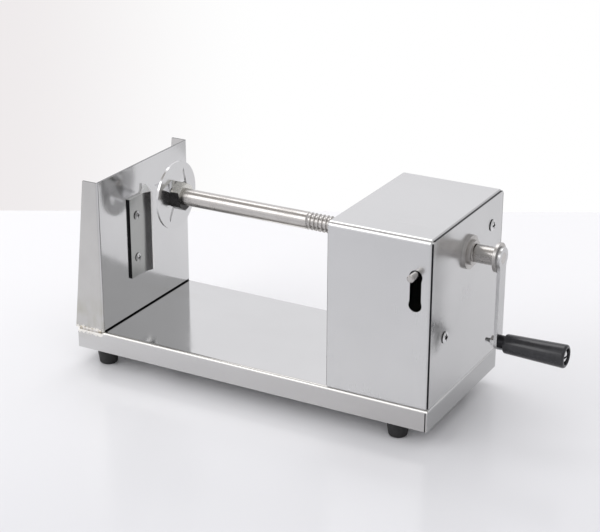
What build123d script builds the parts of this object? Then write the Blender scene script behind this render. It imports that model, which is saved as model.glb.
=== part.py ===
from build123d import *
import math
import os

# Hand cranked tornado potato cutter, in millimetres.
# While it is modelled, X runs along the feed shaft from the tray's left end to the crank,
# Y runs from the front to the back, and Z is up from the floor. The export moves the whole
# machine so that its origin is the middle of its overall box, at floor level.

# ---------------------------------------------------------------- driving sizes
# base tray: a folded pan, open below
tray_length = 360.0
tray_width = 150.0
tray_flange = 20.0
tray_sheet = 1.5
tray_bend = 3.0
tray_lip = 24.0

# rubber feet under the tray's lips
foot_height = 16.0
foot_top_radius = 10.5
foot_base_radius = 8.6
foot_recess_radius = 4.5
foot_recess_depth = 6.0
foot_inset_left = 24.0
foot_inset_right = 33.0
foot_inset_side = 13.5

# upright: the channel that carries the blade
upright_height = 146.5
upright_face_x = 29.2
upright_flange_top = 14.5
upright_sheet = 2.0
upright_bend = 3.5
weld_radius = 2.2
weld_proud = 1.0
weld_length = 24.0

# feed shaft
shaft_height = 119.0  # axis above the tray
shaft_radius = 8.0
shaft_spigot_radius = 5.0
thread_pitch = 4.0
turns_forward = 2.0
turns_back = 24.5

# blade and the discharge slot behind it
blade_sheet = 2.2
blade_flat_width = 20.5
blade_wing_width = 13.5
blade_wing_angle = 29.0
blade_bend = 10.0
blade_bevel = 3.0
blade_point_height = 8.0
blade_point_width = 10.5
blade_bend_offset = 8.0  # bend line in front of the shaft axis
slot_length = 81.5
slot_below_axis = 2.0
discharge_width = 10.0
blade_short_of_slot = 2.5
blade_screw_inset = 18.5
blade_screw_from_bend = 9.5

# pusher disc with its four bent-out prongs, and the nut that it is welded to
disc_radius = 32.0
disc_sheet = 2.0
disc_x = 63.5
prong_count = 4
prong_root = 7.6  # bend line to the shaft axis
prong_offset = 9.4  # each prong stands beside the radius, as in a pinwheel
prong_length = 17.0
prong_width = 14.0
prong_bend = 1.0
prong_lean = 20.0
prong_turn = -7.0
pusher_nut_flats = 24.0
pusher_nut_thickness = 10.0

# housing: wrapped cover, end panel and bearing panel
housing_length = 96.8
housing_height = 153.3
housing_sheet = 1.5
cover_bend = 5.0
cover_edge_bend = 2.0
cover_return = 12.0
cover_lip = 12.0
panel_margin = 1.0
bearing_panel_foot = 14.0

# plain bearings in the two panels
bush_radius = 11.0
bush_flange_radius = 15.0
bush_flange = 3.0
front_bush_length = 18.0
end_bush_inside = 3.0
end_bush_outside = 6.0

# half nut lever
lever_sheet = 4.0
lever_bar = 14.0
lever_from_panel = 14.5  # middle of the lever to the end panel's outer face
pivot_inset_back = 24.5
pivot_above_axis = 7.5
lever_drop = 19.0  # bar's middle line below the shaft axis, where it passes under it
lever_knee_back = 25.0
lever_knee_front = 25.0
lever_root_y = 30.2
lever_rod_radius = 3.25
lever_rod_above_axis = 2.5
lever_rod_reach = 11.7  # how far it stands out of the front wall
lever_travel = 12.5
half_nut_length = 17.0
half_nut_width = 26.0
half_nut_depth = 18.0
half_nut_wrap = 70.0  # degrees of bore each side of its lowest line

# lever slot in the cover's front wall: two round ends and a narrower middle
lever_slot_end_radius = 6.0
lever_slot_width = 10.4
lever_slot_pitch = 25.0
lever_slot_top_gap = 0.55

# return spring and the bracket that it stands on
spring_radius = 5.3
spring_wire = 0.7
spring_turns = 5
bracket_sheet = 2.0
bracket_width = 20.0
bracket_height = 18.0
bracket_screw_below_axis = 62.3
bracket_depth = 22.0
spring_pad = 1.5

# crank arm and grip
arm_gap = 29.0  # end panel to arm
arm_sheet = 3.0
arm_width = 13.0
arm_eye_radius = 9.5
arm_neck_round = 8.0
crank_radius = 77.5
washer_thickness = 2.5
washer_radius = 13.0
collar_radius = 6.5
collar_length = 5.2
grip_length = 56.0
grip_inner_radius = 8.6
grip_outer_radius = 10.3
grip_rim = 3.0
grip_recess_radius = 7.2
grip_recess_depth = 3.4
grip_bolt_tail = 5.5  # bolt showing past its nut
grip_head_radius = 5.9

# fasteners: radius of the thread, then head and nut sizes in terms of it
m4 = 2.0
m5 = 2.5
head_ratio = 2.1
head_height_ratio = 1.2
nut_flats_ratio = 3.4
nut_height_ratio = 1.6
pivot_spacer_wall = 2.0

# clearances
running_fit = 0.05
hole_fit = 0.15
side_play = 0.15
seat_gap = 0.1

# ---------------------------------------------------------------- derived places
tray_bottom = foot_height
tray_top = foot_height + tray_flange
axis_y = tray_width / 2
axis_z = tray_top + shaft_height
upright_top = tray_top + upright_height
housing_left = tray_length - housing_length
housing_top = tray_top + housing_height
cover_right = tray_length - housing_sheet

slot_top = axis_z - slot_below_axis
slot_bottom = slot_top - slot_length
blade_bottom = slot_bottom + blade_short_of_slot
blade_bend_y = axis_y - blade_bend_offset
blade_left_y = blade_bend_y - blade_flat_width
blade_screw_y = blade_bend_y - blade_screw_from_bend
blade_screw_heights = (slot_top - blade_screw_inset, blade_bottom + blade_screw_inset)

nut_x = disc_x + disc_sheet
arm_x = tray_length + arm_gap
arm_outer_x = arm_x + arm_sheet
grip_x = arm_outer_x + collar_length + side_play
grip_end_x = grip_x + grip_length
grip_z = axis_z - crank_radius

lever_x = tray_length - lever_from_panel
pivot_y = tray_width - pivot_inset_back
pivot_z = axis_z + pivot_above_axis
lever_rod_z = axis_z + lever_rod_above_axis
lever_low_z = axis_z - lever_drop
pad_top_z = lever_rod_z - lever_bar / 2
pad_bottom_z = pad_top_z - spring_pad
lever_slot_top_z = lever_rod_z + lever_rod_radius + lever_slot_top_gap - lever_slot_end_radius
lever_slot_bottom_z = lever_slot_top_z - lever_slot_pitch

panel_inner_x = tray_length - housing_sheet
bearing_panel_x = housing_left + housing_sheet
bracket_screw_z = axis_z - bracket_screw_below_axis
shelf_z = bracket_screw_z + bracket_height / 2
spring_height = pad_bottom_z - shelf_z - 2 * seat_gap

foot_places = {
    "foot_front_left": (foot_inset_left, foot_inset_side),
    "foot_front_right": (tray_length - foot_inset_right, foot_inset_side),
    "foot_rear_left": (foot_inset_left, tray_width - foot_inset_side),
    "foot_rear_right": (tray_length - foot_inset_right, tray_width - foot_inset_side),
}
cover_screw_x = (housing_left + cover_right) / 2
cover_screw_inset = cover_lip / 2 + housing_sheet
cover_screw_places = [(cover_screw_x, cover_screw_inset), (cover_screw_x, tray_width - cover_screw_inset)]

# the origin: middle of the overall box, on the floor
origin = Vector(grip_end_x / 2, (tray_width + weld_proud - lever_rod_reach) / 2, 0)

OVER = 1.0  # how far a cutting tool runs past what it cuts


# ---------------------------------------------------------------- shared shapes
def rect(u0, v0, u1, v1):
    """A rectangle in a sketch plane, by its two corners."""
    return Pos((u0 + u1) / 2, (v0 + v1) / 2) * Rectangle(u1 - u0, v1 - v0)


def sheet_x(sketch, x0, x1):
    """A sketch of the Y-Z plane, pulled from x0 to x1."""
    return extrude(Plane.YZ.offset(x0) * sketch, x1 - x0, dir=(1, 0, 0))


def sheet_y(sketch, y0, y1):
    """A sketch of the X-Z plane, pulled from y0 to y1."""
    return extrude(Plane.XZ.offset(-y0) * sketch, y1 - y0, dir=(0, 1, 0))


def sheet_z(sketch, z0, z1):
    """A sketch of the X-Y plane, pulled from z0 to z1."""
    return extrude(Plane.XY.offset(z0) * sketch, z1 - z0, dir=(0, 0, 1))


def rod_x(radius, x0, x1, y, z):
    return sheet_x(Pos(y, z) * Circle(radius), x0, x1)


def rod_z(radius, z0, z1, x, y):
    return sheet_z(Pos(x, y) * Circle(radius), z0, z1)


def hex_bolt(thread, length):
    """A hexagon bolt on the Z axis: head above Z = 0, thread below it."""
    hexagon = RegularPolygon(thread * nut_flats_ratio / 2, 6, major_radius=False)
    head = extrude(hexagon, thread * head_height_ratio)
    return head + Cylinder(thread, length, align=(Align.CENTER, Align.CENTER, Align.MAX))


def round_screw(thread, length, head_radius=None):
    """A round head screw on the Z axis: head above Z = 0, thread below it."""
    head_radius = head_radius or thread * head_ratio
    head_height = thread * head_height_ratio
    head = Cylinder(head_radius, head_height, align=(Align.CENTER, Align.CENTER, Align.MIN))
    return head + Cylinder(thread, length, align=(Align.CENTER, Align.CENTER, Align.MAX))


def plain_nut(thread):
    """A hexagon nut on the Z axis from Z = 0 up."""
    height = thread * nut_height_ratio
    body = extrude(RegularPolygon(thread * nut_flats_ratio / 2, 6, major_radius=False), height)
    return body - Cylinder(thread + running_fit, 4 * height)


def chamfered_nut(flats, thickness, bore):
    """A hexagon nut on the Z axis from Z = 0 up, with turned chamfers at both ends."""
    body = extrude(RegularPolygon(flats / 2, 6, major_radius=False), thickness)
    corner = flats / math.sqrt(3)
    turned = Cylinder(corner, thickness, align=(Align.CENTER, Align.CENTER, Align.MIN))
    ends = turned.faces().filter_by(GeomType.PLANE).edges()
    turned = chamfer(ends, thickness * 0.1, corner - flats / 2)
    hole = Cylinder(bore, thickness + 2 * OVER, align=(Align.CENTER, Align.CENTER, Align.MIN))
    return (body & turned) - Pos(0, 0, -OVER) * hole


def group(shapes):
    """Separate solids that share one node."""
    return Compound(children=[solid for shape in shapes for solid in shape.solids()])


TO_RIGHT = Rot(0, 90, 0)  # turns a shape's own Z axis to +X


# ---------------------------------------------------------------- base
def make_base_tray():
    outer = tray_outline()
    inner = offset(outer, -tray_sheet)
    mouth = rect(tray_lip, tray_bottom - OVER, tray_width - tray_lip, tray_bottom + tray_bend)
    tray = sheet_x(outer - inner - mouth, tray_bend, tray_length - tray_bend)

    # downturned flange across the right end, bent from the top sheet
    end_outer = rect(tray_length - tray_bend, tray_bottom, tray_length, tray_top)
    end_outer = fillet(end_outer.vertices().sort_by(lambda v: v.X + v.Y)[-1], tray_bend)
    end_inner = rect(
        tray_length - tray_bend, tray_bottom, tray_length - tray_sheet, tray_top - tray_sheet
    )
    inner_corner = end_inner.vertices().sort_by(lambda v: v.X + v.Y)[-1]
    end_inner = fillet(inner_corner, tray_bend - tray_sheet)
    end_flange = sheet_y(end_outer - end_inner, tray_bend, tray_width - tray_bend)
    tray += end_flange
    tray += mirror(end_flange, Plane.YZ.offset(tray_length / 2))

    for x, y in foot_places.values():
        tray -= rod_z(m4 + hole_fit, tray_bottom - OVER, tray_bottom + tray_bend, x, y)
    for x, y in cover_screw_places:
        tray -= rod_z(m4 + hole_fit, tray_top - tray_bend, tray_top + OVER, x, y)
    return tray


def make_foot(x, y):
    foot = Cone(foot_base_radius, foot_top_radius, foot_height)
    foot = Pos(x, y, foot_height / 2) * foot
    foot -= rod_z(foot_recess_radius, -OVER, foot_recess_depth, x, y)
    return foot - rod_z(m4 + hole_fit, 0, foot_height + OVER, x, y)


def make_foot_screw(x, y):
    length = foot_height - foot_recess_depth + tray_sheet + m4 * nut_height_ratio + m4
    return Pos(x, y, foot_recess_depth) * Rot(180, 0, 0) * hex_bolt(m4, length)


def make_foot_nut(x, y):
    return Pos(x, y, tray_bottom + tray_sheet) * plain_nut(m4)


# ---------------------------------------------------------------- upright and blade
def make_upright_plate():
    plan = rect(-upright_bend, 0, upright_face_x, tray_width)
    plan = fillet(plan.vertices().group_by(Axis.X)[-1], upright_bend)
    inside = rect(
        -upright_bend - OVER, upright_sheet, upright_face_x - upright_sheet, tray_width - upright_sheet
    )
    inside = fillet(inside.vertices().group_by(Axis.X)[-1], upright_bend - upright_sheet)
    channel = sheet_z(plan - inside, tray_top, upright_top)

    # the side flanges taper from the tray's full depth to a narrow top
    side_view = Polygon(
        (0, tray_top),
        (upright_face_x, tray_top),
        (upright_face_x, upright_top),
        (upright_face_x - upright_flange_top, upright_top),
        align=None,
    )
    upright = channel & sheet_y(side_view, -OVER, tray_width + OVER)

    back_x = upright_face_x - upright_sheet
    discharge = rect(blade_bend_y, slot_bottom, blade_bend_y + discharge_width, slot_top)
    upright -= sheet_x(discharge, back_x - OVER, upright_face_x + OVER)
    for z in blade_screw_heights:
        upright -= rod_x(m4 + hole_fit, back_x - OVER, upright_face_x + OVER, blade_screw_y, z)
    return upright


def tray_outline():
    return fillet(rect(0, tray_bottom, tray_width, tray_top).vertices(), tray_bend)


def make_weld_beads():
    """The ground welds that fill the groove between flange foot and tray edge."""
    x0 = (upright_face_x - weld_length) / 2
    profile = Pos(weld_radius - weld_proud, tray_top) * Circle(weld_radius)
    profile -= offset(tray_outline(), running_fit)
    profile -= rect(0, tray_top, tray_width, upright_top)
    bead = sheet_x(profile, x0, x0 + weld_length)
    return [bead, mirror(bead, Plane.XZ.offset(-tray_width / 2))]


def make_blade():
    """A flat that is screwed to the upright, then a gentle bend and a wing with a ground edge."""
    angle = math.radians(blade_wing_angle)
    along = Vector(math.sin(angle), math.cos(angle))
    square = Vector(math.cos(angle), -math.sin(angle))
    front_x = upright_face_x + blade_sheet
    flat = rect(upright_face_x, blade_left_y, front_x, blade_bend_y)

    # the bend turns about a line in front of the blade
    back_radius = blade_bend + blade_sheet
    far = 2 * back_radius
    wedge = Polygon(
        (0, 0), (-far, 0), (-far, far * math.tan(angle / 2)), (-far * math.cos(angle), far * math.sin(angle)),
        align=None,
    )
    bend = (Circle(back_radius) - Circle(blade_bend)) & wedge
    bend = Pos(front_x + blade_bend, blade_bend_y) * bend

    heel = Vector(front_x + blade_bend, blade_bend_y) - square * back_radius
    reach = blade_wing_width - angle * (blade_bend + blade_sheet / 2)
    edge = heel + along * reach
    shoulder = heel + along * (reach - blade_bevel) + square * blade_sheet
    toe = heel + square * blade_sheet
    wing = Polygon((heel.X, heel.Y), (edge.X, edge.Y), (shoulder.X, shoulder.Y), (toe.X, toe.Y), align=None)
    blade = sheet_z(flat + bend + wing, blade_bottom, slot_top)

    # the centring point stands on the bend and the wing
    point = Polygon(
        (blade_bend_y, slot_top - OVER),
        (blade_bend_y + blade_point_width, slot_top - OVER),
        (blade_bend_y + blade_point_width / 2, slot_top + blade_point_height),
        align=None,
    )
    crest = sheet_z(bend + wing, slot_top - OVER, slot_top + blade_point_height)
    blade += crest & sheet_x(point, upright_face_x, upright_face_x + blade_wing_width)
    for z in blade_screw_heights:
        x0 = upright_face_x - OVER
        blade -= rod_x(m4 + hole_fit, x0, x0 + blade_sheet + 2 * OVER, blade_screw_y, z)
    return blade


def make_blade_screw(z):
    length = blade_sheet + upright_sheet + m4 * nut_height_ratio + m4 / 2
    return Pos(upright_face_x + blade_sheet, blade_screw_y, z) * TO_RIGHT * round_screw(m4, length)


def make_blade_nut(z):
    x = upright_face_x - upright_sheet
    return Pos(x, blade_screw_y, z) * Rot(0, -90, 0) * plain_nut(m4)


# ---------------------------------------------------------------- housing
def cover_outline():
    outline = rect(0, tray_top, tray_width, housing_top)
    corners = outline.vertices().group_by(Axis.Y)
    outline = fillet(corners[-1], cover_bend)
    return fillet(outline.vertices().group_by(Axis.Y)[0], cover_edge_bend)


def make_housing_cover():
    outline = cover_outline()
    block = sheet_x(outline, housing_left, cover_right)
    ends = block.faces().filter_by(Axis.X).edges()
    block = chamfer(ends.filter_by(lambda e: e.center().Z > tray_top + cover_bend), cover_edge_bend / 2)
    inner = offset(outline, -housing_sheet)
    hollow = sheet_x(inner, housing_left + housing_sheet, cover_right - housing_sheet)
    cover = block - hollow

    # open ends inside the return flanges, and the open bottom between the lips
    mouth = rect(
        cover_return, tray_top + cover_edge_bend, tray_width - cover_return, housing_top - cover_return
    )
    cover -= sheet_x(mouth, housing_left - OVER, cover_right + OVER)
    bottom = rect(cover_lip, tray_top - OVER, tray_width - cover_lip, tray_top + cover_bend)
    cover -= sheet_x(bottom, housing_left - OVER, cover_right + OVER)

    slot = rect(
        lever_x - lever_slot_width / 2, lever_slot_bottom_z, lever_x + lever_slot_width / 2, lever_slot_top_z
    )
    for z in (lever_slot_bottom_z, lever_slot_top_z):
        slot += Pos(lever_x, z) * Circle(lever_slot_end_radius)
    slot = fillet(slot.vertices(), lever_slot_end_radius)
    cover -= sheet_y(slot, -OVER, housing_sheet + OVER)
    for x, y in cover_screw_places:
        cover -= rod_z(m4 + hole_fit, tray_top - OVER, tray_top + cover_bend, x, y)
    return cover


def make_end_panel():
    outline = offset(cover_outline(), -panel_margin)
    panel = sheet_x(outline, panel_inner_x, tray_length)
    panel -= rod_x(bush_radius + running_fit, panel_inner_x - OVER, tray_length + OVER, axis_y, axis_z)
    for y, z in ((pivot_y, pivot_z), (lever_root_y, bracket_screw_z)):
        panel -= rod_x(m5 + hole_fit, panel_inner_x - OVER, tray_length + OVER, y, z)
    return panel


def make_bearing_panel():
    """The inner left panel, an angle that stands on the tray and carries the front bearing."""
    outline = offset(cover_outline(), -housing_sheet - side_play)
    room = cover_lip + side_play
    for y in (0, tray_width - room):
        outline -= rect(y, tray_top, y + room, tray_top + housing_sheet + cover_edge_bend)
    outline += rect(room, tray_top, tray_width - room, tray_top + cover_bend)
    right = bearing_panel_x + housing_sheet
    panel = sheet_x(outline, bearing_panel_x, right)
    foot = rect(bearing_panel_x, tray_top, bearing_panel_x + bearing_panel_foot, tray_top + housing_sheet)
    panel += sheet_y(foot, room, tray_width - room)
    return panel - rod_x(bush_radius + running_fit, bearing_panel_x - OVER, right + OVER, axis_y, axis_z)


def make_cover_screw(x, y):
    length = tray_sheet + housing_sheet + m4 * nut_height_ratio + m4 / 2
    return Pos(x, y, tray_top - tray_sheet) * Rot(180, 0, 0) * hex_bolt(m4, length)


def make_cover_nut(x, y):
    return Pos(x, y, tray_top + housing_sheet) * plain_nut(m4)


def make_bush(flange_x, x0, x1):
    bush = rod_x(bush_radius, x0, x1, axis_y, axis_z)
    bush += rod_x(bush_flange_radius, flange_x, flange_x + bush_flange, axis_y, axis_z)
    return bush - rod_x(shaft_radius + running_fit, x0 - OVER, x1 + OVER, axis_y, axis_z)


# ---------------------------------------------------------------- half nut lever
def bar(y0, z0, y1, z1):
    """A round-ended bar between two points of the Y-Z plane."""
    length = math.hypot(y1 - y0, z1 - z0)
    turn = math.degrees(math.atan2(z1 - z0, y1 - y0))
    return Pos((y0 + y1) / 2, (z0 + z1) / 2) * Rot(0, 0, turn) * SlotCenterToCenter(length, lever_bar)


def make_lever_arm():
    """The lever passes under the shaft, between its pivot at the back and its rod at the front."""
    back = (axis_y + lever_knee_back, lever_low_z)
    front = (axis_y - lever_knee_front, lever_low_z)
    shoulder = (axis_y - lever_knee_front, lever_rod_z)
    profile = bar(pivot_y, pivot_z, *back) + bar(*back, *front)
    profile += bar(*front, *shoulder) + bar(*shoulder, lever_root_y, lever_rod_z)
    seat_half = lever_bar / 2
    profile += rect(lever_root_y - seat_half, pad_bottom_z, lever_root_y + seat_half, lever_rod_z)
    profile -= Pos(pivot_y, pivot_z) * Circle(m5 + running_fit)
    half = lever_sheet / 2
    arm = sheet_x(profile, lever_x - half, lever_x + half)
    pad = rect(lever_root_y - seat_half, pad_bottom_z, lever_root_y + seat_half, pad_top_z)
    return arm + sheet_x(pad, lever_x - seat_half, lever_x + seat_half)


def make_half_nut(arm):
    wrap = math.radians(half_nut_wrap)
    bore = shaft_radius + running_fit
    top = axis_z - bore * math.cos(wrap)
    profile = rect(axis_y - half_nut_width / 2, top - half_nut_depth, axis_y + half_nut_width / 2, top)
    profile -= Pos(axis_y, axis_z) * Circle(bore)
    half = half_nut_length / 2
    return sheet_x(profile, lever_x - half, lever_x + half) - arm


def make_lever_rod(arm):
    """The round finger rod, slotted over the lever's front end."""
    rod = Pos(lever_x, 0, lever_rod_z) * Rot(90, 0, 0) * Cylinder(
        lever_rod_radius, lever_rod_reach, align=(Align.CENTER, Align.CENTER, Align.MIN)
    )
    rod = chamfer(rod.faces().sort_by(Axis.Y)[0].edges(), lever_rod_radius / 3)
    inner = Pos(lever_x, 0, lever_rod_z) * Rot(-90, 0, 0) * Cylinder(
        lever_rod_radius, lever_root_y, align=(Align.CENTER, Align.CENTER, Align.MIN)
    )
    return (rod + inner) - arm


def make_pivot_bolt():
    length = lever_from_panel + lever_sheet / 2 + side_play + m5 * nut_height_ratio + m5
    return Pos(tray_length, pivot_y, pivot_z) * TO_RIGHT * round_screw(m5, length)


def make_pivot_spacer():
    x0 = lever_x + lever_sheet / 2 + side_play
    spacer = rod_x(m5 + pivot_spacer_wall, x0, panel_inner_x, pivot_y, pivot_z)
    return spacer - rod_x(m5 + running_fit, x0 - OVER, panel_inner_x + OVER, pivot_y, pivot_z)


def make_pivot_nut():
    x = lever_x - lever_sheet / 2 - side_play
    return Pos(x, pivot_y, pivot_z) * Rot(0, -90, 0) * plain_nut(m5)


def make_spring_bracket():
    """An angle on the end panel whose shelf carries the return spring."""
    low = shelf_z - bracket_height
    outer = rect(panel_inner_x - bracket_depth, low, panel_inner_x, shelf_z)
    outer = fillet(outer.vertices().sort_by(lambda v: v.X + v.Y)[-1], bracket_sheet * 1.5)
    inner_x = panel_inner_x - bracket_sheet
    inner = rect(panel_inner_x - bracket_depth - OVER, low - OVER, inner_x, shelf_z - bracket_sheet)
    inner = fillet(inner.vertices().sort_by(lambda v: v.X + v.Y)[-1], bracket_sheet / 2)
    half = bracket_width / 2
    bracket = sheet_y(outer - inner, lever_root_y - half, lever_root_y + half)
    x0 = panel_inner_x - bracket_sheet - OVER
    return bracket - rod_x(m5 + hole_fit, x0, panel_inner_x + OVER, lever_root_y, bracket_screw_z)


def make_bracket_screw():
    length = housing_sheet + bracket_sheet + m5 * nut_height_ratio + m5 / 2
    return Pos(tray_length, lever_root_y, bracket_screw_z) * TO_RIGHT * round_screw(m5, length)


def make_bracket_nut():
    x = panel_inner_x - bracket_sheet
    return Pos(x, lever_root_y, bracket_screw_z) * Rot(0, -90, 0) * plain_nut(m5)


def make_return_spring():
    """One unbroken wire, wound as a helix from the shelf to the lever's pad."""
    rise = spring_height - 2 * spring_wire - seat_gap
    pitch = rise / spring_turns
    helix = Helix(pitch, rise, spring_radius)
    start = Plane(origin=helix @ 0, z_dir=helix % 0)
    coil = sweep(start * RegularPolygon(spring_wire, 4), path=helix, is_frenet=True)
    print("spring: pitch", round(pitch, 2), "least gap between turns", round(pitch - 2 * spring_wire, 2))
    return Pos(lever_x, lever_root_y, shelf_z + seat_gap + spring_wire) * coil


# ---------------------------------------------------------------- feed shaft
def make_feed_shaft():
    shaft = rod_x(shaft_radius, nut_x, arm_x, axis_y, axis_z)
    return shaft + rod_x(shaft_spigot_radius, disc_x, arm_outer_x, axis_y, axis_z)


def make_prong():
    """One pointed tab, bent out of a sheet whose faces are at X = 0 and X = disc_sheet."""
    angle = math.radians(90 - prong_lean)
    outer_radius = prong_bend + disc_sheet
    far = 2 * outer_radius
    centre = Pos(-prong_bend, prong_root)
    wedge = Polygon(
        (0, 0),
        (far, 0),
        (far * math.cos(angle / 2), far * math.sin(angle / 2)),
        (far * math.cos(angle), far * math.sin(angle)),
        align=None,
    )
    bend = centre * ((Circle(outer_radius) - Circle(prong_bend)) & wedge)
    half = prong_width / 2
    prong = sheet_y(bend, prong_offset - half, prong_offset + half)

    outward = Vector(math.cos(angle), 0, math.sin(angle))
    bend_end = Vector(-prong_bend, prong_offset, prong_root) + outward * prong_bend
    tab_plane = Plane(origin=bend_end, x_dir=(0, 1, 0), z_dir=outward)
    straight = prong_length - angle * (prong_bend + disc_sheet / 2)
    tab = Polygon((-half, 0), (half, 0), (0, straight), align=None)
    return prong + extrude(tab_plane * tab, disc_sheet, dir=outward)


def make_pusher_disc():
    """The disc's prongs are pointed tabs, cut from the sheet and bent towards the blade."""
    plan = Circle(disc_radius) - Circle(shaft_spigot_radius + running_fit)
    half = prong_width / 2
    cut = Polygon((-half, 0), (half, 0), (0, prong_length), align=None)
    cut = Pos(prong_offset, prong_root) * cut
    turns = [prong_turn + turn * 360 / prong_count for turn in range(prong_count)]
    for angle in turns:
        plan -= Rot(0, 0, angle) * cut
    disc = sheet_x(plan, 0, disc_sheet)
    prong = make_prong()
    for angle in turns:
        disc += Rot(angle, 0, 0) * prong
    return Pos(disc_x, axis_y, axis_z) * disc


def make_pusher_nut():
    nut = chamfered_nut(pusher_nut_flats, pusher_nut_thickness, shaft_radius + running_fit)
    return Pos(nut_x, axis_y, axis_z) * TO_RIGHT * nut


def make_thrust_washer():
    x1 = arm_x - side_play
    washer = rod_x(washer_radius, x1 - washer_thickness, x1, axis_y, axis_z)
    return washer - rod_x(
        shaft_radius + running_fit, x1 - washer_thickness - OVER, x1 + OVER, axis_y, axis_z
    )


def make_crank_arm():
    profile = Pos(axis_y, (axis_z + grip_z) / 2) * Rot(0, 0, 90) * SlotCenterToCenter(crank_radius, arm_width)
    profile += Pos(axis_y, axis_z) * Circle(arm_eye_radius)
    hub = Vector(axis_y, axis_z)
    necks = profile.vertices().filter_by(
        lambda v: abs((Vector(v.X, v.Y) - hub).length - arm_eye_radius) < seat_gap
    )
    profile = fillet(necks, arm_neck_round)
    profile -= Pos(axis_y, axis_z) * Circle(shaft_spigot_radius + running_fit)
    profile -= Pos(axis_y, grip_z) * Circle(m5 + running_fit)
    return sheet_x(profile, arm_x, arm_outer_x)


def make_grip_collar():
    x1 = arm_outer_x + collar_length
    collar = rod_x(collar_radius, arm_outer_x, x1, axis_y, grip_z)
    return collar - rod_x(m5 + running_fit, arm_outer_x - OVER, x1 + OVER, axis_y, grip_z)


def make_grip_bolt():
    head_seat = grip_end_x - grip_recess_depth + side_play
    tail = arm_x - m5 * nut_height_ratio - grip_bolt_tail
    return Pos(head_seat, axis_y, grip_z) * TO_RIGHT * round_screw(m5, head_seat - tail, grip_head_radius)


def make_grip_nut():
    return Pos(arm_x, axis_y, grip_z) * Rot(0, -90, 0) * plain_nut(m5)


def make_crank_grip():
    """A turned grip, wider at its outer end, with a recess there for the bolt's head."""
    half_section = Polygon(
        (0, 0), (0, grip_inner_radius), (grip_length, grip_outer_radius), (grip_length, 0), align=None
    )
    rims = half_section.vertices().filter_by(lambda v: v.Y > 0)
    half_section = chamfer(rims, grip_rim / 2)
    grip = revolve(half_section, Axis.X)
    grip = Pos(grip_x, axis_y, grip_z) * grip
    recess_x = grip_end_x - grip_recess_depth
    grip -= rod_x(grip_recess_radius, recess_x, grip_end_x + OVER, axis_y, grip_z)
    return grip - rod_x(m5 + running_fit, grip_x - OVER, recess_x + OVER, axis_y, grip_z)


# ---------------------------------------------------------------- assembly
def make_all():
    tray = make_base_tray()
    upright = make_upright_plate()
    arm = make_lever_arm()
    front_bush_flange_x = bearing_panel_x - bush_flange
    nodes = {
        "base_tray": tray,
        "foot_screws": group(make_foot_screw(*place) for place in foot_places.values()),
        "foot_nuts": group(make_foot_nut(*place) for place in foot_places.values()),
        "upright_plate": upright,
        "weld_beads": group(make_weld_beads()),
        "blade": make_blade(),
        "blade_screws": group(make_blade_screw(z) for z in blade_screw_heights),
        "blade_nuts": group(make_blade_nut(z) for z in blade_screw_heights),
        "housing_cover": make_housing_cover(),
        "cover_screws": group(make_cover_screw(*place) for place in cover_screw_places),
        "cover_nuts": group(make_cover_nut(*place) for place in cover_screw_places),
        "end_panel": make_end_panel(),
        "bearing_panel": make_bearing_panel(),
        "front_bush": make_bush(
            front_bush_flange_x, front_bush_flange_x, front_bush_flange_x + front_bush_length
        ),
        "end_bush": make_bush(tray_length, panel_inner_x - end_bush_inside, tray_length + end_bush_outside),
        "lever_arm": arm,
        "half_nut": make_half_nut(arm),
        "lever_rod": make_lever_rod(arm),
        "pivot_bolt": make_pivot_bolt(),
        "pivot_spacer": make_pivot_spacer(),
        "pivot_nut": make_pivot_nut(),
        "spring_bracket": make_spring_bracket(),
        "bracket_screw": make_bracket_screw(),
        "bracket_nut": make_bracket_nut(),
        "return_spring": make_return_spring(),
        "feed_shaft": make_feed_shaft(),
        "pusher_disc": make_pusher_disc(),
        "pusher_nut": make_pusher_nut(),
        "thrust_washer": make_thrust_washer(),
        "crank_arm": make_crank_arm(),
        "grip_collar": make_grip_collar(),
        "grip_bolt": make_grip_bolt(),
        "grip_nut": make_grip_nut(),
        "crank_grip": make_crank_grip(),
    }
    for name, place in foot_places.items():
        nodes[name] = make_foot(*place)
    return nodes


os.makedirs("parts", exist_ok=True)
for name, shape in make_all().items():
    export_step(Pos(-origin.X, -origin.Y, 0) * shape, f"parts/{name}.step")

feed = thread_pitch / (2 * math.pi)
print("feed per radian", round(feed, 5), "mm; turns", -turns_forward, "to", turns_back)
print("lever travel", lever_travel, "degrees; origin", origin)
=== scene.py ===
import math

import bpy
from mathutils import Matrix, Vector


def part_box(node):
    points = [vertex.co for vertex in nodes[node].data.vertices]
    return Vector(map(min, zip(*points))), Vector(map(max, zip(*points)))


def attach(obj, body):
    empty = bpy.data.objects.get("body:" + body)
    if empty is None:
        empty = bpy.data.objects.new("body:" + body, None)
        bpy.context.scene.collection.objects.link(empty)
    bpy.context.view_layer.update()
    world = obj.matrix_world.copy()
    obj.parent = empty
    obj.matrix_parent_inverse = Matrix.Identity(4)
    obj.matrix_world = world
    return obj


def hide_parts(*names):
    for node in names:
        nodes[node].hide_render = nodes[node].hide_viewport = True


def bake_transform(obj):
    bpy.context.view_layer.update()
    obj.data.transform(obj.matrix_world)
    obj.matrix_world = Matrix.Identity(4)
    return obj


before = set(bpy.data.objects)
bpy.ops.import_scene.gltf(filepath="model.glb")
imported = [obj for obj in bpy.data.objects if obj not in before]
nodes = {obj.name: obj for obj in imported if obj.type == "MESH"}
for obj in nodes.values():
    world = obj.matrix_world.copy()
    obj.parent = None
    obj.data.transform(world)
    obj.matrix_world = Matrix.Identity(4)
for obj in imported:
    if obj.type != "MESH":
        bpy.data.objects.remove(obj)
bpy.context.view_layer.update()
scene = bpy.context.scene

MM = 0.001

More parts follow.
